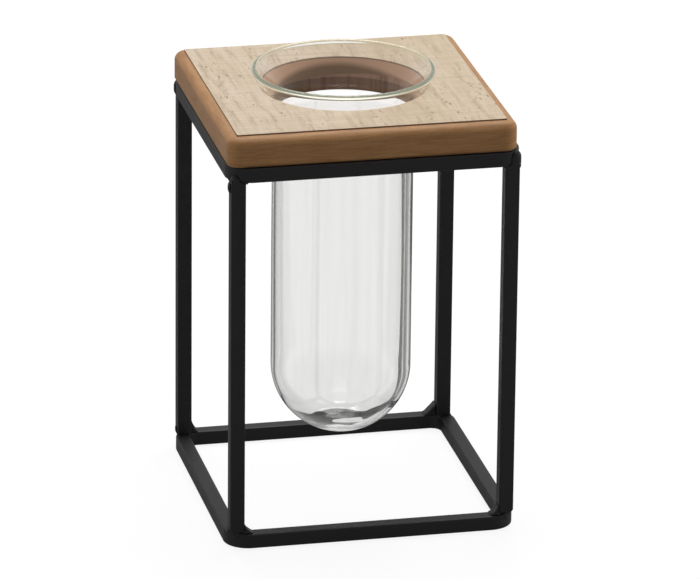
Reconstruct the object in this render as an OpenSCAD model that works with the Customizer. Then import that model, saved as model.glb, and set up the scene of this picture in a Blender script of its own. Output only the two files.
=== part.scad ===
// Test-tube vase: a clear glass tube hangs by its flared mouth in the hole of a
// veneered board, which is screwed to a welded frame of square steel bar.
// +Z is up, the front is -Y, and the origin is the middle of the footprint.

/* [Frame] */
// Width of the frame over its rings, left to right
frame_w = 100; // [90:1:130]
// Depth of the frame over its rings, front to back
frame_d = 100; // [90:1:130]
// Thickness of the square bar that rings and posts are made of
bar = 5; // [4:0.25:7]
// Rounding along the edges of the bar
bar_edge_r = 0.5; // [0.2:0.05:0.9]
// Inside radius of the bends at the corners of the rings
bend_r = 3.5; // [2:0.25:5]
// Length of the posts between the two rings
post_h = 125.5; // [110:0.5:170]
// How far the posts stand in from the outer faces of the rings
post_inset = 1; // [0.5:0.1:1.5]

/* [Welds] */
// Radius of the bead that runs round the end of each post
bead_r = 0.25; // [0.15:0.05:0.5]

/* [Board] */
// How much narrower and shorter the board is than its ring
board_short = 1.5; // [0.5:0.1:3]
// Thickness of the fibreboard core
core_t = 10.2; // [9:0.1:14]
// Radius of the board's corners, seen from above
board_corner_r = 4.5; // [4:0.25:8]
// Round-over along the top edge of the core
core_top_r = 3; // [1.5:0.1:3.5]
// Round-over along the bottom edge of the core
core_low_r = 1.3; // [0.5:0.1:2]
// Thickness of the wood veneer
veneer_t = 0.5; // [0.3:0.1:1]
// Width of the bare strip of core round the veneer
veneer_inset = 3.5; // [3:0.1:6]

/* [Glass tube] */
// Outside radius of the straight tube
tube_r = 24; // [20:0.5:26]
// Thickness of the glass wall
glass_t = 1.5; // [1.2:0.1:2.5]
// How much thicker the glass is at the bottom than in the wall
bottom_extra = 0.2; // [0:0.1:2]
// Height of the middle of the lip above the lowest point of the tube
tube_drop = 129.2; // [110:0.1:135]
// Radius of the bend from the straight tube into the flare
flare_r = 12; // [9:0.5:15]
// Slope of the flare, from upright
flare_angle = 27; // [24:0.5:30]
// How much wider the middle of the lip is than the straight tube, all round
lip_out = 6; // [5:0.1:7]
// How much thicker the bead of the lip is than the wall, on each side
lip_swell = 0.35; // [0.05:0.05:0.6]
// Height of the middle of the lip above the board
lip_rise = 4.7; // [4:0.1:5.5]

/* [Fits] */
// Gap between the straight tube and the hole, all round
hole_gap = 1.5; // [1.2:0.1:2]
// Gap between the flare and the cone of the hole that it hangs in
seat_gap = 0.2; // [0.1:0.05:0.4]
// Gap between a screw and the hole in its tab, all round
tab_hole_gap = 0.2; // [0.1:0.05:0.4]
// Gap between a screw and its pilot hole in the core, all round
pilot_gap = 0.05; // [0.02:0.01:0.1]

/* [Fixings] */
// Length of a fixing tab along each bar of the ring
tab_leg = 14; // [13:0.5:20]
// Thickness of the fixing tabs
tab_t = 1.5; // [1:0.1:2.5]
// Distance of a tab's hole from the inner faces of the ring
tab_hole_in = 4.5; // [4:0.1:5]
// Diameter of the screws over their thread
screw_d = 2.9; // [2.5:0.1:3.5]
// Diameter of the screw heads
head_d = 5.4; // [4.6:0.1:6]
// Height of the screw heads
head_h = 1.8; // [1.4:0.1:2.4]

/* [Hidden] */
$fn = 96;

// Sides of the frame
LEFT = -1;
RIGHT = 1;
FRONT = -1;
BACK = 1;

// Run past a face, so that a cut goes clean through it
overrun = 1;

// Colours
steel_black = [0.13, 0.13, 0.14];
weld_black = [0.2, 0.2, 0.21];
bright_steel = [0.72, 0.72, 0.7];
core_brown = [0.44, 0.31, 0.2];
veneer_cream = [0.83, 0.76, 0.66];
clear_glass = [0.82, 0.9, 0.86, 0.4];

// Rings: outside radius of a bend, and straight runs between the bends
bend_out_r = bend_r + bar;
run_w = frame_w - 2 * bend_out_r;
run_d = frame_d - 2 * bend_out_r;

// Levels of the frame
post_top = bar + post_h;
ring_top = post_top + bar;

// Middle and outer faces of a post, and the inner faces of the rings
post_x = frame_w / 2 - post_inset - bar / 2;
post_y = frame_d / 2 - post_inset - bar / 2;
post_out_x = post_x + bar / 2;
post_out_y = post_y + bar / 2;
ring_in_x = frame_w / 2 - bar;
ring_in_y = frame_d / 2 - bar;

// Weld fillets beside the posts, as shares of the bar: along the ring, then up the post.
// The order is front left, front right, back left, back right.
base_fillet_shares = [[0.56, 0.68], [0.54, 0.70], [0.42, 1.04], [0.74, 0.74]];
top_fillet_shares = [[0.26, 0.26], [0.24, 0.22], [0.28, 0.24], [0.24, 0.26]];
// Hollow of a fillet, as a share of its slope; the last one at the base is nearly flat
base_hollow_shares = [0.16, 0.15, 0.1, 0.04];
top_hollow_shares = [0.15, 0.15, 0.15, 0.15];
// Lumps beside the posts, as shares of the bar: lowest and highest middle, measured from
// the joint towards the post, then how proud of the post's face
base_lump_shares = [[0, 0.1, 0.02], [0.05, 0.15, 0.02], [-0.1, 0.3, 0.08], [0, 0.1, 0.02]];
top_lump_shares = [[0.34, 0.52, 0.14], [-0.5, 0.06, 0.14], [-0.5, -0.2, 0.18], [-0.3, 0.1, 0.08]];
// Radius of the lumps, and of the filling under an overhanging corner, as shares of the bar
lump_share = 0.48;
pool_share = 0.4;
// How far that filling is sunk, as a share of its radius
pool_sink_share = 0.3;

// Board: flush with the ring on the left, centred front to back
board_w = frame_w - board_short;
board_d = frame_d - board_short;
board_x = -board_short / 2;
core_top = ring_top + core_t;
board_top = core_top + veneer_t;

// Glass tube: levels of the lip, the bottom, and the straight cone and the bend of the flare
lip_z = board_top + lip_rise;
lip_r = tube_r + lip_out;
tube_bottom = lip_z - tube_drop;
flare_x = tube_r + flare_r;
cone_r = flare_x - flare_r * cos(flare_angle);
cone_run = lip_r + glass_t / 2 * cos(flare_angle) - cone_r;
lip_bead_r = glass_t / 2 + lip_swell;
cone_z = lip_z - glass_t / 2 * sin(flare_angle) - cone_run / tan(flare_angle);
flare_z = cone_z - flare_r * sin(flare_angle);

// Hole in the board: a bore below, and a cone parallel to the flare above
hole_r = tube_r + hole_gap;
seat_r = cone_r + seat_gap / cos(flare_angle);
seat_z = cone_z + (hole_r - seat_r) / tan(flare_angle);
seat_h = board_top - seat_z;

// Fixings
tab_low = ring_top - tab_t;
screw_x = ring_in_x - tab_hole_in;
screw_y = ring_in_y - tab_hole_in;
screw_r = screw_d / 2;
// Depth of the screws in the core, as a share of its thickness
screw_deep_share = 0.78;
screw_deep = core_t * screw_deep_share;
// Point of the screws, as a share of their diameter
tip_share = 0.8;
// Slots of the cross recess: width and length as shares of the head's diameter, then
// depth as a share of its height
slot_w_share = 0.15;
slot_l_share = 0.6;
slot_deep_share = 0.55;

// Puts a shape drawn for the back right corner at any corner
module at_corner(x_side, y_side) {
    mirror([x_side < 0 ? 1 : 0, 0, 0]) mirror([0, y_side < 0 ? 1 : 0, 0]) children();
}

// Section of the square bar, round its middle
module bar_section() {
    flat = bar - 2 * bar_edge_r;
    square([bar, flat], center = true);
    square([flat, bar], center = true);
    for (x = [-flat / 2, flat / 2], y = [-flat / 2, flat / 2])
        translate([x, y]) circle(r = bar_edge_r);
}

// Ring of bar that lies flat, with four bent corners; its underside is at z = 0
module bar_ring() {
    translate([0, 0, bar / 2]) {
        for (side = [-1, 1]) {
            translate([-run_w / 2, side * (frame_d - bar) / 2, 0])
                rotate([90, 0, 90]) linear_extrude(run_w) bar_section();
            translate([side * (frame_w - bar) / 2, run_d / 2, 0])
                rotate([90, 0, 0]) linear_extrude(run_d) bar_section();
        }
        for (x_side = [LEFT, RIGHT], y_side = [FRONT, BACK])
            at_corner(x_side, y_side)
                translate([run_w / 2, run_d / 2, 0])
                    rotate_extrude(angle = 90)
                        translate([bend_r + bar / 2, 0]) bar_section();
    }
}

module post_bar(x_side, y_side) {
    translate([x_side * post_x, y_side * post_y, bar])
        linear_extrude(post_h) bar_section();
}

// Hollow weld fillet in the corner between a post and the bar beside it.
// The joint is at z = 0, with the post above it.
module weld_fillet(along, up, hollow_share) {
    slope = sqrt(along * along + up * up);
    dip = slope * hollow_share;
    hollow_r = (slope * slope / 4 + dip * dip) / (2 * dip);
    reach = hollow_r - dip;
    foot_x = post_out_x - bar;
    translate([0, post_out_y, 0]) rotate([90, 0, 0])
        linear_extrude(post_out_y - ring_in_y)
            difference() {
                polygon([[foot_x, 0], [foot_x, up], [foot_x - along, 0]]);
                translate([foot_x - along / 2 - reach * up / slope, up / 2 + reach * along / slope])
                    circle(r = hollow_r);
            }
}

// Bead of weld that runs round the end of a post
module weld_bead() {
    translate([post_x, post_y, 0]) {
        for (side = [-1, 1]) {
            translate([-bar / 2, side * bar / 2, 0]) rotate([0, 90, 0]) cylinder(r = bead_r, h = bar);
            translate([side * bar / 2, bar / 2, 0]) rotate([90, 0, 0]) cylinder(r = bead_r, h = bar);
        }
        for (x = [-bar / 2, bar / 2], y = [-bar / 2, bar / 2])
            translate([x, y, 0]) sphere(r = bead_r);
    }
}

// Filling between the outside of a bend and the corner of the post over it
module weld_pool() {
    bend_corner = bend_out_r * (1 - cos(45));
    pool_r = bar * pool_share;
    sink = pool_r * pool_sink_share;
    translate([frame_w / 2 - bend_corner - sink, frame_d / 2 - bend_corner - sink, -sink])
        sphere(r = pool_r);
}

// Lump on the outer side of a post, between two levels
module weld_lump(low, high, proud) {
    lump_r = bar * lump_share;
    translate([post_out_x + proud - lump_r, post_y, low]) {
        cylinder(r = lump_r, h = high - low);
        sphere(r = lump_r);
        translate([0, 0, high - low]) sphere(r = lump_r);
    }
}

// All weld metal at one end of a post, with the joint at z = 0 and the post above it
module weld_metal(fillet_shares, hollow_share, lump_shares) {
    weld_fillet(bar * fillet_shares[0], bar * fillet_shares[1], hollow_share);
    weld_bead();
    weld_pool();
    weld_lump(bar * lump_shares[0], bar * lump_shares[1], bar * lump_shares[2]);
}

// Place of a corner in the lists of shares
function corner_index(x_side, y_side) = (y_side + 1) + (x_side + 1) / 2;

module base_ring() {
    color(steel_black) bar_ring();
}

module top_ring() {
    color(steel_black) translate([0, 0, post_top]) bar_ring();
}

module post(x_side, y_side) {
    color(steel_black) post_bar(x_side, y_side);
}

module base_weld(x_side, y_side) {
    i = corner_index(x_side, y_side);
    color(weld_black) difference() {
        translate([0, 0, bar]) at_corner(x_side, y_side)
            weld_metal(base_fillet_shares[i], base_hollow_shares[i], base_lump_shares[i]);
        bar_ring();
        post_bar(x_side, y_side);
    }
}

module top_weld(x_side, y_side) {
    i = corner_index(x_side, y_side);
    color(weld_black) difference() {
        translate([0, 0, post_top]) mirror([0, 0, 1]) at_corner(x_side, y_side)
            weld_metal(top_fillet_shares[i], top_hollow_shares[i], top_lump_shares[i]);
        translate([0, 0, post_top]) bar_ring();
        post_bar(x_side, y_side);
    }
}

// Three-cornered steel ear in a corner of the top ring, flush with the ring's top
module fixing_tab(x_side, y_side) {
    corner_x = ring_in_x + bar_edge_r;
    corner_y = ring_in_y + bar_edge_r;
    leg = tab_leg + bar_edge_r;
    color(steel_black) difference() {
        at_corner(x_side, y_side) translate([0, 0, tab_low]) difference() {
            linear_extrude(tab_t)
                polygon([[corner_x, corner_y], [corner_x - leg, corner_y], [corner_x, corner_y - leg]]);
            translate([screw_x, screw_y, -overrun])
                cylinder(r = screw_r + tab_hole_gap, h = tab_t + 2 * overrun);
        }
        translate([0, 0, post_top]) bar_ring();
    }
}

// Pan-head wood screw that comes up through a tab into the core
module tab_screw(x_side, y_side) {
    dome_r = (head_d * head_d / 4 + head_h * head_h) / (2 * head_h);
    tip_h = screw_d * tip_share;
    shank_h = tab_t + screw_deep - tip_h;
    slot_w = head_d * slot_w_share;
    slot_l = head_d * slot_l_share;
    slot_deep = head_h * slot_deep_share;
    color(bright_steel) translate([x_side * screw_x, y_side * screw_y, tab_low]) {
        difference() {
            intersection() {
                translate([0, 0, -head_h]) cylinder(d = head_d, h = head_h);
                translate([0, 0, dome_r - head_h]) sphere(r = dome_r);
            }
            for (turn = [0, 90])
                rotate([0, 0, turn]) translate([-slot_l / 2, -slot_w / 2, -head_h - overrun])
                    cube([slot_l, slot_w, slot_deep + overrun]);
        }
        cylinder(r = screw_r, h = shank_h);
        translate([0, 0, shank_h]) cylinder(r1 = screw_r, r2 = 0, h = tip_h);
    }
}

// Quarter of a disc, up and to the right of the origin
module quarter_disc(r) {
    intersection() {
        circle(r = r);
        square([r, r]);
    }
}

// Section of the core's edge, from the middle of a corner out to the edge
module core_edge() {
    square([board_corner_r - core_low_r, core_t - core_top_r]);
    translate([0, core_low_r]) square([board_corner_r, core_t - core_low_r - core_top_r]);
    translate([0, core_low_r]) square([board_corner_r - core_top_r, core_t - core_low_r]);
    translate([board_corner_r - core_top_r, core_t - core_top_r]) quarter_disc(core_top_r);
    translate([board_corner_r - core_low_r, core_low_r]) mirror([0, 1]) quarter_disc(core_low_r);
}

// Section right across the core, between its two edges
module core_section(width) {
    middle = width - 2 * board_corner_r;
    translate([-middle / 2, 0]) square([middle, core_t]);
    for (side = [0, 1])
        mirror([side, 0]) translate([width / 2 - board_corner_r, 0]) core_edge();
}

// Plate with round corners and rounded top and bottom edges
module core_plate() {
    mid_w = board_w - 2 * board_corner_r;
    mid_d = board_d - 2 * board_corner_r;
    translate([0, mid_d / 2, 0]) rotate([90, 0, 0]) linear_extrude(mid_d) core_section(board_w);
    translate([-mid_w / 2, 0, 0]) rotate([90, 0, 90]) linear_extrude(mid_w) core_section(board_d);
    for (x = [-mid_w / 2, mid_w / 2], y = [-mid_d / 2, mid_d / 2])
        translate([x, y, 0]) rotate_extrude() core_edge();
}

// What the hole takes out of the board: a bore, and the cone for the flare
module tube_hole() {
    wider = overrun * tan(flare_angle);
    translate([board_x, 0, ring_top - overrun])
        cylinder(r = hole_r, h = seat_z - ring_top + 2 * overrun);
    translate([board_x, 0, seat_z])
        cylinder(r1 = hole_r, r2 = hole_r + seat_h * tan(flare_angle) + wider, h = seat_h + overrun);
}

module board_core() {
    color(core_brown) difference() {
        translate([board_x, 0, ring_top]) core_plate();
        tube_hole();
        for (x = [-screw_x, screw_x], y = [-screw_y, screw_y])
            translate([x, y, ring_top - overrun])
                cylinder(r = screw_r + pilot_gap, h = screw_deep + pilot_gap + overrun);
    }
}

module top_veneer() {
    sheet_w = board_w - 2 * veneer_inset;
    sheet_d = board_d - 2 * veneer_inset;
    color(veneer_cream) difference() {
        translate([board_x - sheet_w / 2, -sheet_d / 2, core_top]) cube([sheet_w, sheet_d, veneer_t]);
        tube_hole();
    }
}

// End of the flare in the lip: side 1 is the outer face of the glass, -1 the inner one
function flare_end(side) =
    [lip_r + side * glass_t / 2 * cos(flare_angle), lip_z - side * glass_t / 2 * sin(flare_angle)];

// Half section of the tube's outer or inner shape: a round bottom, a straight part, and
// a flare that bends round a point outside the glass and then runs straight to its ends
module tube_half(r, bottom_z, bend, ends) {
    translate([0, bottom_z + r]) mirror([0, 1]) quarter_disc(r);
    translate([0, bottom_z + r]) square([r, flare_z - bottom_z - r + overrun]);
    difference() {
        polygon(concat([
            [0, flare_z],
            [flare_x, flare_z],
            [flare_x - bend * cos(flare_angle), flare_z + bend * sin(flare_angle)]
        ], ends));
        translate([flare_x, flare_z]) circle(r = bend);
    }
}

module glass_tube() {
    outer = flare_end(1);
    inner = flare_end(-1);
    inner_r = tube_r - glass_t;
    inner_bottom = tube_bottom + glass_t + bottom_extra;
    over_lip = inner.y + overrun;
    color(clear_glass) translate([board_x, 0, 0]) rotate_extrude() {
        difference() {
            tube_half(tube_r, tube_bottom, flare_r, [outer, inner, [0, inner.y]]);
            tube_half(inner_r, inner_bottom, flare_r + glass_t,
                [inner, [inner.x, over_lip], [0, over_lip]]);
        }
        translate([lip_r, lip_z]) circle(r = lip_bead_r);
    }
}

base_ring();
top_ring();
post(LEFT, FRONT);  // post_front_left
post(RIGHT, FRONT);  // post_front_right
post(LEFT, BACK);  // post_back_left
post(RIGHT, BACK);  // post_back_right
base_weld(LEFT, FRONT);  // base_weld_front_left
base_weld(RIGHT, FRONT);  // base_weld_front_right
base_weld(LEFT, BACK);  // base_weld_back_left
base_weld(RIGHT, BACK);  // base_weld_back_right
top_weld(LEFT, FRONT);  // top_weld_front_left
top_weld(RIGHT, FRONT);  // top_weld_front_right
top_weld(LEFT, BACK);  // top_weld_back_left
top_weld(RIGHT, BACK);  // top_weld_back_right
fixing_tab(LEFT, FRONT);  // fixing_tab_front_left
fixing_tab(RIGHT, FRONT);  // fixing_tab_front_right
fixing_tab(LEFT, BACK);  // fixing_tab_back_left
fixing_tab(RIGHT, BACK);  // fixing_tab_back_right
tab_screw(LEFT, FRONT);  // tab_screw_front_left
tab_screw(RIGHT, FRONT);  // tab_screw_front_right
tab_screw(LEFT, BACK);  // tab_screw_back_left
tab_screw(RIGHT, BACK);  // tab_screw_back_right
board_core();
top_veneer();
glass_tube();
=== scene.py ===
# %% [markdown]
# # A test-tube vase on a welded stand
# A clear glass tube hangs by its flared mouth in the hole of a veneered board. The board
# sits on a stand of thin black steel bar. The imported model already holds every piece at
# its real size, so this lesson only dresses it: a camera, soft light, finishes made of
# shader nodes, and new meshes for the three things that a solid shows too sharply, which
# are the edges of steel bar, blown glass and weld metal.

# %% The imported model
import math

import bmesh
import bpy
from mathutils import Matrix, Vector, noise


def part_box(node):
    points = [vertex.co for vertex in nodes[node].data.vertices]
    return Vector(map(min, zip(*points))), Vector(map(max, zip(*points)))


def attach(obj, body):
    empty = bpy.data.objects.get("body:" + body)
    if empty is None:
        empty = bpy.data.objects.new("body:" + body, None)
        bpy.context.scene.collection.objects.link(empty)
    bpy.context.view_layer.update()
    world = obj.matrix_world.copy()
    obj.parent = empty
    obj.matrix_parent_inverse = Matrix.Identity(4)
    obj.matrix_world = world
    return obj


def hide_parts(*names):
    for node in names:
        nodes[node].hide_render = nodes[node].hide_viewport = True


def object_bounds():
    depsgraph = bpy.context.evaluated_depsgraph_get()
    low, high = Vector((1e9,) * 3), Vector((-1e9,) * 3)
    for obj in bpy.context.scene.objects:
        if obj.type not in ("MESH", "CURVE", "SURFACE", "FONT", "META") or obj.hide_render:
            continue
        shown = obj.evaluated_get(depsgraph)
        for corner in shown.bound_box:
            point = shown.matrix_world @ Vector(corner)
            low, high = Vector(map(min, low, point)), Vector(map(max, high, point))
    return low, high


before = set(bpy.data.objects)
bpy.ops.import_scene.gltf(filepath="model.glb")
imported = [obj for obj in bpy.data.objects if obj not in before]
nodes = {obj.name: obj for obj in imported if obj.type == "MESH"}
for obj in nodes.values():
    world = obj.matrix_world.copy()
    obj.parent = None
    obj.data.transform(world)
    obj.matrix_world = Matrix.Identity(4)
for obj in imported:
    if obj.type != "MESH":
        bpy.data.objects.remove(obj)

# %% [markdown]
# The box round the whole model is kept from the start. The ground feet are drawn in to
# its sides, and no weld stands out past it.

MM = 0.001
cad_low, cad_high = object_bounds()
print(f"{len(nodes)} pieces, {(cad_high.z - cad_low.z) / MM:.1f} mm tall")

# %% [markdown]
# The camera looks down on the vase from a little to the left of its front. Its place
# follows from three turns and a distance, and a long lens keeps the posts nearly
# parallel. The focal length is known in pixels of a picture 700 wide, so the lens is
# that length as a share of the picture's width, times the width of the sensor.

# %% The camera
PICTURE_WIDTH_PX = 700
FOCAL_LENGTH_PX = 6326.3
VIEW_YAW = math.radians(12.603)
VIEW_PITCH = math.radians(20.489)
VIEW_ROLL = math.radians(0.612)
VIEW_TARGET = Vector((0.42, -8.483, 75)) * MM
VIEW_DISTANCE = 2150.8 * MM


def camera_matrix():
    """Place and turn of a camera that looks along the view's direction."""
    across = math.cos(VIEW_PITCH)
    down = -math.sin(VIEW_PITCH)
    ahead = Vector((math.sin(VIEW_YAW) * across, math.cos(VIEW_YAW) * across, down))
    level = Vector((math.cos(VIEW_YAW), -math.sin(VIEW_YAW), 0))
    upright = level.cross(ahead)
    right = math.cos(VIEW_ROLL) * level + math.sin(VIEW_ROLL) * upright
    up = math.cos(VIEW_ROLL) * upright - math.sin(VIEW_ROLL) * level
    matrix = Matrix((right, up, -ahead)).transposed().to_4x4()
    matrix.translation = VIEW_TARGET - ahead * VIEW_DISTANCE
    return matrix


def link(name, data):
    """An object that shows the data, placed in the scene."""
    made = bpy.data.objects.new(name, data)
    bpy.context.scene.collection.objects.link(made)
    return made


lens = bpy.data.cameras.new("lens")
lens.lens = FOCAL_LENGTH_PX / PICTURE_WIDTH_PX * lens.sensor_width
camera = link("camera", lens)
camera.matrix_world = camera_matrix()
bpy.context.scene.camera = camera
bpy.context.scene.view_settings.view_transform = "Standard"
print(f"lens of {lens.lens:.1f} mm, {VIEW_DISTANCE:.2f} m away")

# %% [markdown]
# Finishes are written as sums. A `Shade` wraps one output of a shader node, so that
# `1 - mask` or `grain * 0.2` adds the Math nodes that work it out. Every other node comes
# from `add`, which takes the node's type, its settings and what goes into its inputs.


# %% Shader nodes written as sums
def find_socket(sockets, key):
    """A socket by its number, or by the name that tells it from its namesakes."""
    if isinstance(key, int):
        return sockets[key]
    return next((s for s in sockets if s.identifier == key), None) or sockets[key]


class Shade:
    """One output of a shader node, which can be used in sums like a number."""

    def __init__(self, tree, socket):
        self.tree = tree
        self.socket = socket

    def add(self, kind, settings=None, inputs=None, output=0):
        """Adds a node, sets it up, feeds its inputs, and gives back one of its outputs."""
        node = self.tree.nodes.new("ShaderNode" + kind)
        for name, value in (settings or {}).items():
            setattr(node, name, value)
        for key, value in (inputs or {}).items():
            socket = find_socket(node.inputs, key)
            if isinstance(value, Shade):
                self.tree.links.new(value.socket, socket)
            elif socket.type == "RGBA":
                socket.default_value = (*value, 1)
            else:
                socket.default_value = value
        return Shade(self.tree, find_socket(node.outputs, output)) if node.outputs else None

    def sum(self, operation, first, second):
        """Works out two numbers."""
        return self.add("Math", {"operation": operation}, {0: first, 1: second})

    def vector(self, operation, inputs, output=0):
        """Works out vectors."""
        return self.add("VectorMath", {"operation": operation}, inputs, output)

    def __add__(self, other):
        return self.sum("ADD", self, other)

    def __radd__(self, other):
        return self.sum("ADD", other, self)

    def __sub__(self, other):
        return self.sum("SUBTRACT", self, other)

    def __rsub__(self, other):
        return self.sum("SUBTRACT", other, self)

    def __mul__(self, other):
        return self.sum("MULTIPLY", self, other)

    def __rmul__(self, other):
        return self.sum("MULTIPLY", other, self)


# %% [markdown]
# A few helpers do most of the work. `cloudy` is noise whose patches have a real size along
# each axis, so grain can be long one way and fine the other. `step` turns a value into a
# soft mask. `mix` goes from one colour to another, and `relief` turns a height between 0
# and 1 into dents and bumps of a real depth. `along` and `length` measure a place.


# %% Noise, masks, colours and relief
def along(place, axis):
    """How far a place lies along X, Y or Z."""
    return place.add("SeparateXYZ", {}, {0: place}, axis)


def length(vector):
    """The length of a vector."""
    return vector.vector("LENGTH", {0: vector}, "Value")


def fitted(place, size):
    """A place measured in cells of that size along X, Y and Z."""
    return place.vector("MULTIPLY", {0: place, 1: [1 / s for s in size]})


def cloudy(place, size, detail=2.0, rough=0.5):
    """Noise between 0 and 1 whose patches have that size, which may differ along X, Y and Z."""
    sizes = size if isinstance(size, tuple) else (size, size, size)
    look = {"Scale": 1, "Detail": detail, "Roughness": rough}
    return place.add("TexNoise", {}, {"Vector": fitted(place, sizes), **look})


def step(value, low, high, start=0.0, end=1.0):
    """Goes smoothly from start to end as value goes from low to high."""
    limits = {"From Min": low, "From Max": high, "To Min": start, "To Max": end}
    smooth = {"interpolation_type": "SMOOTHSTEP"}
    return value.add("MapRange", smooth, {"Value": value, **limits})


def mix(share, first, second, blend="MIX"):
    """Colour that is `first` where share is 0, and fully blended with `second` where it is 1."""
    ends = {"Factor_Float": share, "A_Color": first, "B_Color": second}
    maker = share if isinstance(share, Shade) else first
    return maker.add("Mix", {"data_type": "RGBA", "blend_type": blend}, ends, "Result_Color")


def relief(height, depth):
    """Normals of a surface with dents and bumps of that depth."""
    return height.add("Bump", {}, {"Strength": 1, "Distance": depth, "Height": height})


# %% [markdown]
# Every finish is a recipe. It starts from the place on the object, so that each pattern
# keeps its real size, and ends in the one shader that holds colour, roughness and relief.


# %% Recipes for finishes
def recipe(name):
    """A new material and the place on the object, from which its finish is worked out."""
    material = bpy.data.materials.new(name)
    material.use_nodes = True
    material.node_tree.nodes.clear()
    start = Shade(material.node_tree, None)
    return material, start.add("TexCoord", output="Object")


def serve(place, **values):
    """Ends a recipe in the one shader that holds colour, roughness and relief."""
    named = {key.replace("_", " "): value for key, value in values.items()}
    shader = place.add("BsdfPrincipled", {}, named)
    place.add("OutputMaterial", {}, {"Surface": shader})


def wear(node, material):
    """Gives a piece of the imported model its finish."""
    for place in nodes[node].material_slots:
        place.material = material


# %% [markdown]
# The edges of clear glass mirror what lies beside it. A photographer lays a dark card on
# each side, out of the picture, so that the edges show as dark lines. Here a card is a
# wedge of the floor, between angles off the direction behind the vase. It fades in from
# the first angle to the second, and out from the third to the fourth. Light that comes
# through glass and light that bounces off it meet cards of different widths.

# %% Dark cards beside the glass
BEHIND = (math.sin(VIEW_YAW), math.cos(VIEW_YAW), 0)
CARD_APEX = 60 * MM
CARD_REACH = 380 * MM
CARD_FADE = 40 * MM
CARD_SHARE = 0.15
CARDS_BEHIND = (23, 32, 56, 66)
CARDS_MIRRORED = (3, 9, 56, 66)


def card_free(place, angles):
    """Is 1 on the bare floor, CARD_SHARE on the cards, and fades from one to the other."""
    from_apex = place.vector("ADD", {0: place, 1: [b * CARD_APEX for b in BEHIND]})
    direction = from_apex.vector("NORMALIZE", {0: from_apex})
    facing = direction.vector("DOT_PRODUCT", {0: direction, 1: BEHIND}, "Value")
    near, near_full, far_full, far = [math.cos(math.radians(a)) for a in angles]
    behind = step(facing, near_full, near, CARD_SHARE, 1)
    before = step(facing, far, far_full, 1, CARD_SHARE)
    beyond = step(length(place), CARD_REACH, CARD_REACH + CARD_FADE, CARD_SHARE, 1)
    return place.sum("MAXIMUM", place.sum("MAXIMUM", behind, before), beyond)


print(f"dark cards up to {CARD_REACH / MM:.0f} mm from the vase")

# %% [markdown]
# The floor is plain and pale. It takes a soft shadow from the lamps, and shows white to
# the camera because it also glows for the rays that are seen. Steel mirrors only a little
# of that glow, so that it stays black. Glass sees it all round, but for the two cards.
# From below the floor is see-through.

# %% The floor
FLOOR_R = 4.0
FLOOR_DROP = 0.15 * MM
FLOOR_SIDES = 96
FLOOR_COLOUR = (0.15, 0.15, 0.15)
FLOOR_GLOW = 0.88
STEEL_SEES = 0.15


def ray(place, kind):
    """Is 1 for rays of one kind, such as those that come straight from the camera."""
    return place.add("LightPath", output=f"Is {kind} Ray")


def floor_finish():
    """Plain matt that glows for the rays that are seen, and is clear from below."""
    material, place = recipe("pale_floor")
    bent, sharp = ray(place, "Transmission"), ray(place, "Singular")
    bounced = ray(place, "Glossy") * (1 - bent)
    through_glass = bent * card_free(place, CARDS_BEHIND)
    off_glass = bounced * sharp * card_free(place, CARDS_MIRRORED)
    off_steel = bounced * (1 - sharp) * STEEL_SEES
    seen = ray(place, "Camera") + through_glass + off_glass + off_steel
    matt = place.add("BsdfDiffuse", {}, {"Color": FLOOR_COLOUR})
    glow = place.add("Emission", {}, {"Strength": seen * FLOOR_GLOW})
    lit = place.add("AddShader", {}, {0: matt, 1: glow})
    clear = place.add("BsdfTransparent")
    below = place.add("NewGeometry", output="Backfacing")
    either = place.add("MixShader", {}, {0: below, 1: lit, 2: clear})
    place.add("OutputMaterial", {}, {"Surface": either})
    return material


def finished(shape, name):
    """The mesh of a shape that is built, which is then let go."""
    mesh = bpy.data.meshes.new(name)
    shape.to_mesh(mesh)
    shape.free()
    return mesh


def disc(name, radius, z):
    """A flat round sheet."""
    shape = bmesh.new()
    bmesh.ops.create_circle(shape, cap_ends=True, segments=FLOOR_SIDES, radius=radius)
    bmesh.ops.translate(shape, verts=shape.verts, vec=(0, 0, z))
    return link(name, finished(shape, name))


floor = disc("floor", FLOOR_R, -FLOOR_DROP)
floor.data.materials.append(floor_finish())
print(f"floor of {2 * FLOOR_R:.0f} m")

# %% [markdown]
# The light is that of a plain studio: a dim room with a pale horizon, a wide softbox
# overhead, and two weaker ones at the height of the vase that lighten its left and right
# sides. Together they light the top of the board about fully and its front by a third.
# The room is dimmer in front of the vase, and its pale horizon ends a little way up.

# %% The room and its lamps
HORIZON = 0.8
ROOM_MID = 0.34
ROOM_TOP = 0.4
FRONT_SHARE = 0.64
HORIZON_ENDS = (0.1, 0.3)
TOP_BEGINS = (0.5, 0.9)
FRONT_ENDS = (-0.7, 0.1)


def room_light():
    """A world that is white to the camera and lights the vase as a dim room."""
    world = bpy.data.worlds.new("room")
    bpy.context.scene.world = world
    world.use_nodes = True
    world.node_tree.nodes.clear()
    start = Shade(world.node_tree, None)
    direction = start.add("TexCoord", output="Generated")
    upward = along(direction, "Z")
    low = step(upward, *HORIZON_ENDS, HORIZON, ROOM_MID)
    high = step(upward, *TOP_BEGINS, 0, ROOM_TOP - ROOM_MID)
    front = step(along(direction, "Y"), *FRONT_ENDS, FRONT_SHARE, 1)
    light = (low + high) * front
    straight = ray(direction, "Camera")
    shown = straight + light * (1 - straight)
    back = direction.add("Background", {}, {"Color": (1, 1, 1), "Strength": shown})
    direction.add("OutputWorld", {}, {"Surface": back})


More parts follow.
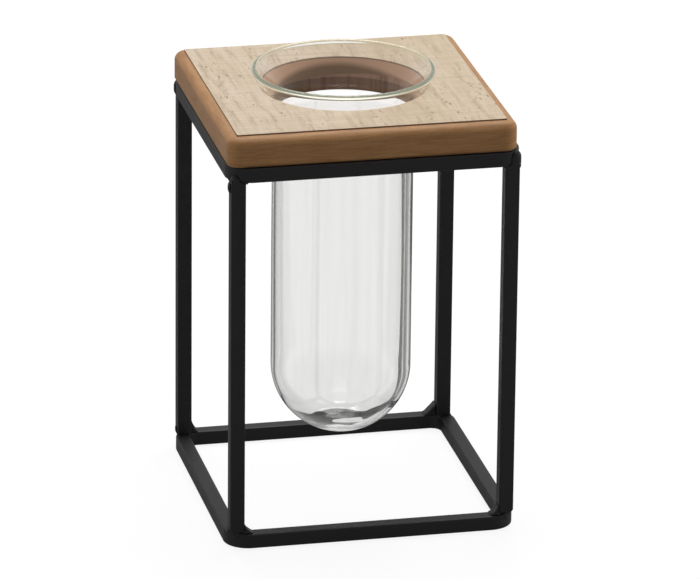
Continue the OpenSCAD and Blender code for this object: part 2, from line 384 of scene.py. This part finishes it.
def softbox(name, place, size, power, mirrored=False):
    """A square lamp that faces the vase. Only a mirrored one shows in shiny faces."""
    lamp = bpy.data.lights.new(name, "AREA")
    lamp.size = size
    lamp.energy = power
    made = link(name, lamp)
    made.location = place
    made.rotation_euler = (VIEW_TARGET - made.location).to_track_quat("-Z", "Y").to_euler()
    made.visible_camera = False
    made.visible_glossy = mirrored
    made.visible_transmission = mirrored


room_light()
softbox("overhead_softbox", (0.11, 0.5, 1.4), size=1.0, power=15.6, mirrored=True)
softbox("left_softbox", (-1.3, -0.2, 0.25), size=0.6, power=2.4)
softbox("right_softbox", (1.3, -0.15, 0.14), size=0.6, power=9)
print("three softboxes and a room")

# %% [markdown]
# Steel bar under powder coat: the powder melts into a skin that is nearly black and half
# matt, with a fine orange-peel relief. Its gloss changes a little from place to place.

# %% Powder coat
COAT_BLACK = (0.0085, 0.0078, 0.0082)
COAT_WORN = (0.016, 0.0152, 0.0155)
COAT_ROUGH = 0.36
PEEL_SIZE = 0.5 * MM
PEEL_DEPTH = 0.012 * MM
GRIT_SIZE = 0.12 * MM
GLOSS_PATCH = 9 * MM
DUST_SIZE = 2.5 * MM
DUST_LIMITS = (0.55, 0.75)


def powder_coat():
    """Half-matt black powder coat with an orange-peel relief."""
    material, place = recipe("powder_coat")
    peel = cloudy(place, PEEL_SIZE)
    grit = cloudy(place, GRIT_SIZE, 1)
    patches = cloudy(place, GLOSS_PATCH, 3)
    dusty = step(cloudy(place, DUST_SIZE, 3), *DUST_LIMITS)
    colour = mix(dusty * 0.6 + grit * 0.3, COAT_BLACK, COAT_WORN)
    rough = COAT_ROUGH + patches * 0.12 + peel * 0.08
    bumps = relief(peel * 0.7 + grit * 0.3, PEEL_DEPTH)
    serve(place, Base_Color=colour, Roughness=rough, Normal=bumps)
    return material


coat = powder_coat()
coated = [n for n in nodes if n.startswith(("base_ring", "top_ring", "post", "fixing_tab"))]
for name in coated:
    wear(name, coat)
print(f"powder coat on {len(coated)} pieces")

# %% [markdown]
# The foot of a post stands over the rounded corner of the base ring, and was ground back
# to it. A few level cuts near the foot give it points that can move, which are then drawn
# in to the corner, less so further above it.

# %% Ground feet
BAR_EDGE_R = 0.6 * MM
RING_CORNER_R = 8.5 * MM
GROUND_LENGTH = 4 * MM
GROUND_CUTS = 5

post_low, post_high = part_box("post_front_left")


def drawn_in(place):
    """Moves a point in to the rounded corner of the base ring, less so further above it."""
    away = max(0, place.z - post_low.z) / GROUND_LENGTH
    radius = RING_CORNER_R * max(0, 1 - away) ** 2
    centre = Vector([math.copysign(cad_high.x - radius, c) for c in place.xy])
    out = place.xy - centre
    if min(out.x * centre.x, out.y * centre.y) > 0 and out.length > radius:
        out *= radius / out.length
    return Vector((*(centre + out), place.z))


def grind_foot(shape):
    """Grinds the foot of a post, and sinks it into the rounded edge of the base ring."""
    for i in range(1, GROUND_CUTS + 1):
        z = post_low.z + GROUND_LENGTH * i / GROUND_CUTS
        parts = [*shape.verts, *shape.edges, *shape.faces]
        bmesh.ops.bisect_plane(shape, geom=parts, plane_co=(0, 0, z), plane_no=(0, 0, 1))
    for v in shape.verts:
        v.co = drawn_in(v.co)
        if v.co.z < post_low.z + BAR_EDGE_R / 2:
            v.co.z -= BAR_EDGE_R


print(f"feet ground over {GROUND_LENGTH / MM:.0f} mm")

# %% [markdown]
# Square bar leaves the mill with rounded edges, and the powder rounds them a little more.
# They catch the light as soft lines, so each bar is copied with its long edges rounded.
# The ends of the posts stay sharp, because there they butt against the rings.

# %% Rounded bars
BAR_EDGE_CUTS = 3
SHARP_ANGLE = math.radians(45)
FLAT_ANGLE = math.radians(0.5)
UPRIGHT = 0.9
FACE_WEIGHT = 100


def is_long_edge(edge, upright_only):
    """Tells the edges along a bar from those across its ends and those of its bends."""
    first, second = [v.co for v in edge.verts]
    if upright_only and abs((second - first).normalized().z) < UPRIGHT:
        return False
    return edge.is_manifold and edge.calc_face_angle() > SHARP_ANGLE


def rounded_bar(name):
    """A copy of a bar with soft long edges, which is shown instead of it."""
    is_post = name.startswith("post")
    shape = bmesh.new()
    shape.from_mesh(nodes[name].data)
    bmesh.ops.dissolve_limit(shape, angle_limit=FLAT_ANGLE, verts=shape.verts, edges=shape.edges)
    long_edges = [e for e in shape.edges if is_long_edge(e, is_post)]
    bmesh.ops.bevel(shape, geom=long_edges, offset=BAR_EDGE_R, segments=BAR_EDGE_CUTS,
                    profile=0.5, affect="EDGES", clamp_overlap=False)
    if is_post:
        grind_foot(shape)
    mesh = finished(shape, "rounded_" + name)
    mesh.shade_smooth()
    mesh.materials.append(coat)
    made = link("rounded_" + name, mesh)
    made.modifiers.new("flat_sides", "WEIGHTED_NORMAL").weight = FACE_WEIGHT
    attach(made, "stand")
    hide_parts(name)
    return made


bars = [rounded_bar(n) for n in nodes if n.endswith("_ring") or n.startswith("post")]
print(f"{len(bars)} bars of {sum(len(b.data.polygons) for b in bars)} faces")

# %% [markdown]
# The screws that hold the board are zinc plated. Zinc is a bright metal with a faint
# cloudy bloom and fine scratches, so its brightness and roughness change a little.

# %% Zinc
ZINC_DULL = (0.52, 0.53, 0.55)
ZINC_BRIGHT = (0.68, 0.69, 0.7)
ZINC_ROUGH = 0.28
BLOOM_SIZE = 0.8 * MM
SCRATCH_SIZE = (0.1 * MM, 2 * MM, 0.1 * MM)
SCRATCH_DEPTH = 0.004 * MM


def zinc():
    """Bright plating with a cloudy bloom and fine scratches."""
    material, place = recipe("zinc")
    bloom = cloudy(place, BLOOM_SIZE, 3)
    scratches = relief(cloudy(place, SCRATCH_SIZE), SCRATCH_DEPTH)
    colour = mix(bloom, ZINC_DULL, ZINC_BRIGHT)
    rough = ZINC_ROUGH + bloom * 0.2
    serve(place, Base_Color=colour, Metallic=1, Roughness=rough, Normal=scratches)
    return material


plated = zinc()
screws = [n for n in nodes if n.startswith("tab_screw")]
for name in screws:
    wear(name, plated)
print(f"zinc on {len(screws)} screws")

# %% [markdown]
# The hole of the board was left bare where it was cut. Its cone is pale at the top and
# painted darker towards its depth, as painted shade, least so at its left and right. The
# straight bore below the cone is painted darker too, as painted shade, and has upright
# marks of the cutter.

# %% The hole of the board
CORE_FLECK = (0.2, 0.085, 0.028)
CORE_BARE = (0.68, 0.42, 0.27)
CORE_BORE_SHADED = (0.42, 0.25, 0.16)
CORE_PAINTED_SHADE = (0.26, 0.155, 0.082)
BORE_MARK = (2.2 * MM, 2.2 * MM, 90 * MM)
MARK_LIMITS = (0.4, 0.65)
BORE_REACH = 25.6 * MM
BORE_FADE = 0.3 * MM
PAINTED_SHADE_START = 0.9 * MM
PAINTED_SHADE_FULL = 3.4 * MM
PAINTED_SHADE_MIDDLE = 2 * MM
PAINTED_SHADE_CURVE = 6

board_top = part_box("top_veneer")[1].z


def hole_colour(place, reach):
    """The bare cone of the hole, with painted shade deep down, and the bore below it in painted
    shade.
    """
    marks = step(cloudy(place, BORE_MARK), *MARK_LIMITS)
    # Painted shade: the bore is coloured darker than the bare cone.
    bore_in_shade = mix(marks * 0.7, CORE_BORE_SHADED, CORE_FLECK)
    # Painted shade: the cone darkens towards its depth, less so at its left and right.
    aside = along(place, "X") - PAINTED_SHADE_MIDDLE
    height = along(place, "Z") + aside * aside * PAINTED_SHADE_CURVE
    painted_shade = step(height, board_top - PAINTED_SHADE_FULL, board_top - PAINTED_SHADE_START, 1, 0)
    cone = mix(painted_shade, CORE_BARE, CORE_PAINTED_SHADE)
    return mix(step(reach, BORE_REACH, BORE_REACH + BORE_FADE), bore_in_shade, cone)


print(f"hole under the board's top at {board_top / MM:.1f} mm")

# %% [markdown]
# The core of the board is fibreboard with a clear seal on its rounded edges. It is an
# even brown with a fine fleck of fibres. The edges were shaped by a cutter that ran round
# the board, which leaves faint level streaks. The seal has a faint sheen.

# %% Fibreboard
CORE_DARK = (0.35, 0.165, 0.055)
CORE_LIGHT = (0.51, 0.265, 0.105)
CORE_LIMITS = (0.36, 0.64)
CORE_ROUGH = 0.5
CORE_RELIEF = 0.03 * MM
CUTTER_STREAK = (9 * MM, 9 * MM, 0.5 * MM)
CORE_CLOUD = (11 * MM, 11 * MM, 5 * MM)
CORE_FIBRE = (0.35 * MM, 0.35 * MM, 0.2 * MM)
FLECK_SIZE = (0.6 * MM, 0.6 * MM, 0.3 * MM)
FLECK_LIMITS = (0.66, 0.74)
HOLE_REACH = 32 * MM
HOLE_FADE = 1 * MM


def fibreboard():
    """Sealed fibreboard on the edges, and bare fibreboard in the hole."""
    material, place = recipe("fibreboard")
    streaks = cloudy(place, CUTTER_STREAK, 3, 0.6)
    fibres = cloudy(place, CORE_FIBRE, 3, 0.6)
    uneven = streaks * 0.45 + cloudy(place, CORE_CLOUD) * 0.15 + fibres * 0.4
    body = mix(step(uneven, *CORE_LIMITS), CORE_DARK, CORE_LIGHT)
    flecks = step(cloudy(place, FLECK_SIZE, 1), *FLECK_LIMITS)
    sealed = mix(flecks * 0.5, body, CORE_FLECK)
    reach = length(place.vector("MULTIPLY", {0: place, 1: (1, 1, 0)}))
    in_hole = step(reach, HOLE_REACH, HOLE_REACH + HOLE_FADE, 1, 0)
    colour = mix(in_hole, sealed, hole_colour(place, reach))
    bumps = relief(fibres * 0.6 + streaks * 0.4, CORE_RELIEF)
    serve(place, Base_Color=colour, Roughness=CORE_ROUGH + fibres * 0.2, Sheen_Weight=0.12,
          Sheen_Roughness=0.4, Normal=bumps)
    return material


wear("board_core", fibreboard())
print("fibreboard on the core")

# %% [markdown]
# The wood of the veneer has open pores. They were sliced along their length, so they lie
# on its face as short dark dashes, wide ones and fine ones, that gather in clusters. A
# dash is a cell of a Voronoi pattern, and the cells are long the way of the grain.

# %% Open pores
CLUSTER_SIZE = (4 * MM, 34 * MM, 20 * MM)
CLUSTER_LIMITS = (0.5, 0.62)
PORE_DEPTHS = (1.5 * MM, 5 * MM, 20 * MM)
DEPTH_LIMITS = (0.35, 0.7)
WIDE_PORE = (1.5 * MM, 4.4 * MM, 5 * MM)
WIDE_FULLNESS = 0.33
FINE_PORE = (0.8 * MM, 2.8 * MM, 5 * MM)
FINE_FULLNESS = 0.28


def dashes(place, size, fullness):
    """Separate short dashes that point to the back, one in each cell of that size."""
    cells = {"Vector": fitted(place, size), "Scale": 1, "Randomness": 1}
    away = place.add("TexVoronoi", {}, cells, "Distance")
    return step(away, fullness - 0.1, fullness + 0.05, 1, 0)


def open_pores(place):
    """Is 1 in the open pores, which gather in clusters."""
    clusters = step(cloudy(place, CLUSTER_SIZE), *CLUSTER_LIMITS)
    depth = step(cloudy(place, PORE_DEPTHS), *DEPTH_LIMITS)
    wide = dashes(place, WIDE_PORE, WIDE_FULLNESS) * clusters
    fine = dashes(place, FINE_PORE, FINE_FULLNESS) * (0.05 + 0.7 * clusters)
    return place.sum("MAXIMUM", wide, fine) * depth


print(f"wide pores of {WIDE_PORE[1] / MM} mm, fine ones of {FINE_PORE[1] / MM} mm")

# %% [markdown]
# The veneer is a thin sheet of pale wood. Its grain runs from front to back in long soft
# bands, and faint lines across the grain are left from slicing. The sheet turns a little
# golden towards the right, and its cut sides are painted darker than its face, as painted
# shade.

# %% Veneer
VENEER_PALE = (0.685, 0.56, 0.43)
VENEER_WARM = (0.585, 0.46, 0.32)
VENEER_GOLDEN = (0.95, 0.94, 0.89)
VENEER_STREAK = (0.43, 0.325, 0.205)
VENEER_PORE = (0.31, 0.21, 0.12)
VENEER_SIDE_SHADE = (0.24, 0.145, 0.085)
VENEER_ROUGH = 0.52
VENEER_RELIEF = 0.05 * MM
GOLDEN_FROM = -30 * MM
GOLDEN_TO = 50 * MM
BAND_SIZE = (12 * MM, 80 * MM, 20 * MM)
GRAIN_SIZE = (0.8 * MM, 18 * MM, 5 * MM)
SLICE_SIZE = (24 * MM, 1.3 * MM, 5 * MM)
SHADOW_SIZE = (2.4 * MM, 20 * MM, 20 * MM)
SHADOW_LIMITS = (0.48, 0.7)
VENEER_LIMITS = (0.4, 0.6)
NO_TINT = (1, 1, 1)
FACE_LIMITS = (0.3, 0.7)


def veneer():
    """Pale wood with grain, slicing lines, soft shadows and open pores, and painted shade on its
    cut sides.
    """
    material, place = recipe("wood_veneer")
    grain = cloudy(place, GRAIN_SIZE, 3, 0.65)
    slicing = cloudy(place, SLICE_SIZE, 3, 0.6)
    uneven = cloudy(place, BAND_SIZE, 3) * 0.35 + grain * 0.3 + slicing * 0.35
    body = mix(step(uneven, *VENEER_LIMITS), VENEER_WARM, VENEER_PALE)
    # The sheet is made a little darker and more golden towards the right.
    golden = step(along(place, "X"), GOLDEN_FROM, GOLDEN_TO)
    right_tint = mix(golden, NO_TINT, VENEER_GOLDEN)
    right_tinted = mix(1, body, right_tint, "MULTIPLY")
    shadows = step(cloudy(place, SHADOW_SIZE, 3, 0.6), *SHADOW_LIMITS)
    stained = mix(shadows * 0.6, right_tinted, VENEER_STREAK)
    pores = open_pores(place)
    face = mix(pores, stained, VENEER_PORE)
    # Painted shade: faces that do not point up, the cut sides, are painted dark.
    upright = along(place.add("TexCoord", output="Normal"), "Z")
    colour = mix(step(upright, *FACE_LIMITS, 1, 0), face, VENEER_SIDE_SHADE)
    rough = VENEER_ROUGH + grain * 0.12 + pores * 0.15
    bumps = relief(1 - pores * 0.7 + grain * 0.2 + slicing * 0.15, VENEER_RELIEF)
    serve(place, Base_Color=colour, Roughness=rough, Normal=bumps)
    return material


wear("top_veneer", veneer())
print("veneer on the board")

# %% [markdown]
# The tube was blown or drawn by hand, so a turned solid is too perfect for it. A new mesh
# follows the same outline, with a wall that wanders a little. It starts at the lowest
# point, climbs the outside, rounds the lip and comes down the inside.

# %% The outline of the glass
TUBE_R = 24 * MM
WALL = 1.5 * MM
BOTTOM = 0.8 * MM
FLARE_R = 12 * MM
FLARE_ANGLE = math.radians(27)
LIP_BEAD_R = 0.8 * MM
SPACING = 1.0 * MM
LIP_SPACING = 0.25 * MM
OUTER_STRETCHES = 3

glass_low, glass_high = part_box("glass_tube")
tube_x = (glass_low.x + glass_high.x) / 2
lip_r = (glass_high.x - glass_low.x) / 2 - LIP_BEAD_R
lip_z = glass_high.z - LIP_BEAD_R
flare_x = TUBE_R + FLARE_R
cone_r = flare_x - FLARE_R * math.cos(FLARE_ANGLE)
cone_run = lip_r + WALL / 2 * math.cos(FLARE_ANGLE) - cone_r
cone_z = lip_z - WALL / 2 * math.sin(FLARE_ANGLE) - cone_run / math.tan(FLARE_ANGLE)
flare_z = cone_z - FLARE_R * math.sin(FLARE_ANGLE)


def turn(centre, radius, start, end, spacing=SPACING):
    """Points round an arc, from one angle to another."""
    count = max(4, round(abs(end - start) * radius / spacing))
    angles = [start + (end - start) * i / count for i in range(count + 1)]
    r, z = centre
    return [(r + radius * math.cos(a), z + radius * math.sin(a)) for a in angles]


def run(start, end):
    """Points along a straight line, without its ends."""
    count = max(2, round(math.dist(start, end) / SPACING))
    return [tuple(a + (b - a) * i / count for a, b in zip(start, end)) for i in range(1, count)]


def outline():
    """Radius and height of the points along the outside, the lip and the inside."""
    quarter = math.pi / 2
    inward = math.pi - FLARE_ANGLE
    inner_r = TUBE_R - WALL
    past = math.acos(WALL / 2 / LIP_BEAD_R)
    stretches = [
        turn((0, glass_low.z + TUBE_R), TUBE_R, -quarter, 0),
        turn((flare_x, flare_z), FLARE_R, math.pi, inward),
        turn((lip_r, lip_z), LIP_BEAD_R, -FLARE_ANGLE - past, inward + past, LIP_SPACING),
        turn((flare_x, flare_z), FLARE_R + WALL, inward, math.pi),
        turn((0, glass_low.z + BOTTOM + inner_r), inner_r, 0, -quarter),
    ]
    points, inside = [], []
    for i, stretch in enumerate(stretches):
        joined = run(points[-1], stretch[0]) + stretch if points else stretch
        points += joined
        inside += [i >= OUTER_STRETCHES] * len(joined)
    return points, inside


points, inside = outline()
print(f"outline of {len(points)} points, flare from {flare_z / MM:.2f} mm up")

# %% [markdown]
# Turning the outline gives rings of points. Each point then moves a little: long, slow
# waves all over, and fine ones that run up the tube, as glass that was drawn has. The
# waves fade towards the flare and the lowest point. The inside sits off centre, so one
# wall is thicker than the other. The bottom was blown thin, but for a swirled drop where
# the tube was sealed.

# %% Waves in the glass
SLOW_WAVE = 0.05 * MM
SLOW_TURN = 1.6
SLOW_LENGTH = 35 * MM
DRAWN_WAVE = 0.008 * MM
DRAWN_TURN = 6
DRAWN_LENGTH = 60 * MM
INSIDE_SEED = 7
CALM_R = 8 * MM
CALM_SHARE = 0.3
CALM_HEIGHT = 4 * MM
CALM_FADE = 12 * MM
BORE_SHIFT = Vector((-0.42, 0.05, 0)) * MM
BOTTOM_SWIRL = 0.2 * MM
SWIRL_SIZE = 6 * MM
SWIRL_R = 17 * MM
SEAL_DROP = 0.6 * MM
SEAL_R = 10 * MM


def waves(angle, height, turns):
    """Noise round the tube that changes along it."""
    return noise.noise(Vector((turns * math.cos(angle), turns * math.sin(angle), height)))


def wander(angle, z, seed):
    """How far the surface stands out of its true place."""
    slow = waves(angle, z / SLOW_LENGTH + seed, SLOW_TURN)
    drawn = waves(angle, z / DRAWN_LENGTH + seed, DRAWN_TURN)
    return SLOW_WAVE * slow + DRAWN_WAVE * drawn


def bottom_rise(r, angle):
    """How far the inside stands above its round shape near the lowest point of the tube."""
    place = Vector((r * math.cos(angle), r * math.sin(angle), 0)) / SWIRL_SIZE
    swirl = BOTTOM_SWIRL * noise.noise(place) * max(0, 1 - (r / SWIRL_R) ** 2)
    return swirl + SEAL_DROP * max(0, 1 - (r / SEAL_R) ** 2)


def glass_point(r, z, inner, angle):
    """Place of a point of the glass, a little off its true place."""
    free = min(1, max(0, (flare_z + CALM_HEIGHT - z) / CALM_FADE))
    share = min(1, r / CALM_R) * (CALM_SHARE + (1 - CALM_SHARE) * free)
    out = r + wander(angle, z, INSIDE_SEED * inner) * share
    if inner and z < glass_low.z + TUBE_R:
        z += bottom_rise(r, angle)
    point = Vector((tube_x + out * math.cos(angle), out * math.sin(angle), z))
    return point + BORE_SHIFT * inner * free


print(f"waves of up to {(SLOW_WAVE + DRAWN_WAVE) / MM:.3f} mm")

# %% [markdown]
# Faces with four corners join each ring to the next, and faces with three close the two
# poles. All of them face out of the glass, which is the closed space between the outside
# and the inside of the tube.

# %% The glass tube
SEGMENTS = 192
POLE_R = 0.001 * MM


def turned_glass():
    """The outline turned into a closed skin, with a single point at each pole."""
    shape = bmesh.new()
    rings = []
    for (r, z), inner in zip(points, inside):
        count = SEGMENTS if r > POLE_R else 1
        angles = [2 * math.pi * j / count for j in range(count)]
        rings.append([shape.verts.new(glass_point(r, z, inner, a)) for a in angles])
    for lower, upper in zip(rings, rings[1:]):
        for j in range(SEGMENTS):
            pairs = [(lower, j), (lower, j + 1), (upper, j + 1), (upper, j)]
            corners = [ring[i % SEGMENTS % len(ring)] for ring, i in pairs]
            shape.faces.new(list(dict.fromkeys(corners))).smooth = True
    bmesh.ops.recalc_face_normals(shape, faces=shape.faces)
    return link("blown_glass_tube", finished(shape, "blown_glass"))


glass = turned_glass()
print(f"glass of {len(glass.data.polygons)} faces")

# %% [markdown]
# Clear soda glass takes a little light at each face, more in the tube than in its flare.
# Where a face below the flare is seen almost along itself, the glass is painted dark, as
# painted shade for the little light that comes through at such a slant. The thick lip
# shows the green of the glass, and gleams a little with the light that runs up inside
# the wall, which is a path too long to trace.

# %% Colours of the glass
GLASS_CLEAR = (0.895, 0.895, 0.89)
GLASS_STREAK = (0.87, 0.875, 0.87)
GLASS_FLARED = (0.985, 0.975, 0.975)
GLASS_SHOULDER = (0.865, 0.865, 0.86)
GLASS_LIP = (0.90, 0.915, 0.88)
LIP_GLEAM = (0.27, 0.28, 0.21)
GLASS_EDGE_PAINTED_SHADE = (0.08, 0.085, 0.075)
NO_LIGHT = (0, 0, 0)
DRAWN_STREAK = (3 * MM, 3 * MM, 90 * MM)
STREAK_LIMITS = (0.4, 0.65)
EDGE_SLANTS = (0.7, 0.88)
FLARE_FADE = 2 * MM
SHOULDER_FROM = 12 * MM
SHOULDER_TO = 4 * MM
GLEAM_FROM = 0.7 * MM
GLEAM_TO = 0.1 * MM


def glass_colour(place, z, lip):
    """What the glass lets through: less in the tube than in the flare, and painted dark as shade
    at its slanted edges.
    """
    body = mix(step(cloudy(place, DRAWN_STREAK), *STREAK_LIMITS), GLASS_CLEAR, GLASS_STREAK)
    below_flare = step(z, flare_z - FLARE_FADE, flare_z, 1, 0)
    shoulder = step(z, flare_z - SHOULDER_FROM, flare_z - SHOULDER_TO)
    walls = mix(below_flare, GLASS_FLARED, body)
    tinted = mix(lip, mix(shoulder * below_flare, walls, GLASS_SHOULDER), GLASS_LIP)
    # Painted shade: below the flare, faces seen at a slant are painted nearly black.
    slant = place.add("LayerWeight", {}, {"Blend": 0.5}, "Facing")
    return mix(step(slant, *EDGE_SLANTS) * below_flare, tinted, GLASS_EDGE_PAINTED_SHADE)


def lip_gleam(place, lip):
    """Light that leaves the outer half of the lip, seen only from outside the glass."""
    reach = length(place.vector("SUBTRACT", {0: place, 1: (tube_x, 0, lip_z)}))
    outer = step(reach, lip_r - GLEAM_FROM, lip_r - GLEAM_TO)
    outside = 1 - place.add("NewGeometry", output="Backfacing")
    return mix(lip * outer * outside, NO_LIGHT, LIP_GLEAM)


print(f"glass is darker below {flare_z / MM:.1f} mm, green above {lip_z / MM:.1f} mm")

# %% [markdown]
# Glass bends light by 1.5, and its body takes more of it the further it runs inside. Light
# for the wood and the floor passes straight through, so that the clear tube throws no hard
# shadow.

# %% Clear glass
GLASS_BENDS = 1.5
GLASS_DEPTHS = (0.3, 0.5, 0.15)
GLASS_DENSITY = 7
LIP_FROM = 1.0 * MM
LIP_TO = 0.5 * MM


def clear_glass():
    """Smooth glass that takes light at its faces and in its depth."""
    material, place = recipe("clear_glass")
    z = along(place, "Z")
    lip = step(z, lip_z - LIP_FROM, lip_z - LIP_TO)
    shell = place.add("BsdfPrincipled", {}, {
        "Base Color": glass_colour(place, z, lip),
        "Roughness": 0,
        "IOR": GLASS_BENDS,
        "Transmission Weight": 1,
        "Emission Color": lip_gleam(place, lip),
        "Emission Strength": 1,
    })
    depths = {"Color": GLASS_DEPTHS, "Density": GLASS_DENSITY}
    body = place.add("VolumeAbsorption", {}, depths)
    place.add("OutputMaterial", {}, {"Surface": shell, "Volume": body})
    return material


glass.data.materials.append(clear_glass())
glass.visible_shadow = False
glass.visible_diffuse = False
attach(glass, "tube")
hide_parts("glass_tube")
print("clear glass on the tube")

# %% [markdown]
# Weld metal is a frozen liquid: it has no edges of its own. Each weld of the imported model
# is covered with an even net of small faces, which is then melted by smoothing, swollen a
# little so that it laps on to the bars, and roughened by noise. Melting shrinks the
# fillets, so those of the base grow again. The welds at the feet were ground back with
# them, and no weld stands out past the model's box.

# %% Welds
WELD_NET = 0.3 * MM
MELT_FACTOR = 0.5
MELT_ROUNDS = 5
WELD_LAP = 0.12 * MM
WELD_RIPPLE = 0.1 * MM
WELD_RIPPLE_SIZE = 1.4 * MM
FILLET_GROWTH = 1.2
FILLET_REACH = 10 * MM


def grown(place):
    """Lets the fillet of a base weld climb higher and reach further along the bar."""
    inner = -post_high.x
    reach, height = inner - abs(place.x), place.z - post_low.z
    if reach < -WELD_NET or not 0 < height < FILLET_REACH:
        return place
    x = math.copysign(inner - reach * FILLET_GROWTH, place.x)
    return Vector((x, place.y, post_low.z + height * FILLET_GROWTH))


def weld_point(vertex):
    """Place of a point of the weld's skin, kept inside the box of the model."""
    swell = WELD_LAP + WELD_RIPPLE * noise.noise(vertex.co / WELD_RIPPLE_SIZE)
    place = grown(drawn_in(vertex.co)) + vertex.normal * swell
    return [min(max(p, low), high) for p, low, high in zip(place, cad_low, cad_high)]


def melted_weld(name):
    """A melted copy of a weld, which is shown instead of it."""
    made = link("melted_" + name, nodes[name].data.copy())
    net = made.modifiers.new("net", "REMESH")
    net.mode = "VOXEL"
    net.voxel_size = WELD_NET
    melt = made.modifiers.new("melt", "SMOOTH")
    melt.factor = MELT_FACTOR
    melt.iterations = MELT_ROUNDS
    depsgraph = bpy.context.evaluated_depsgraph_get()
    mesh = bpy.data.meshes.new_from_object(made.evaluated_get(depsgraph))
    made.modifiers.clear()
    made.data = mesh
    for vertex, place in zip(mesh.vertices, [weld_point(v) for v in mesh.vertices]):
        vertex.co = place
    mesh.shade_smooth()
    mesh.materials.clear()
    mesh.materials.append(coat)
    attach(made, "stand")
    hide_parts(name)
    return made


welds = [melted_weld(n) for n in nodes if "_weld_" in n]
print(f"{len(welds)} welds of {sum(len(w.data.polygons) for w in welds)} faces")
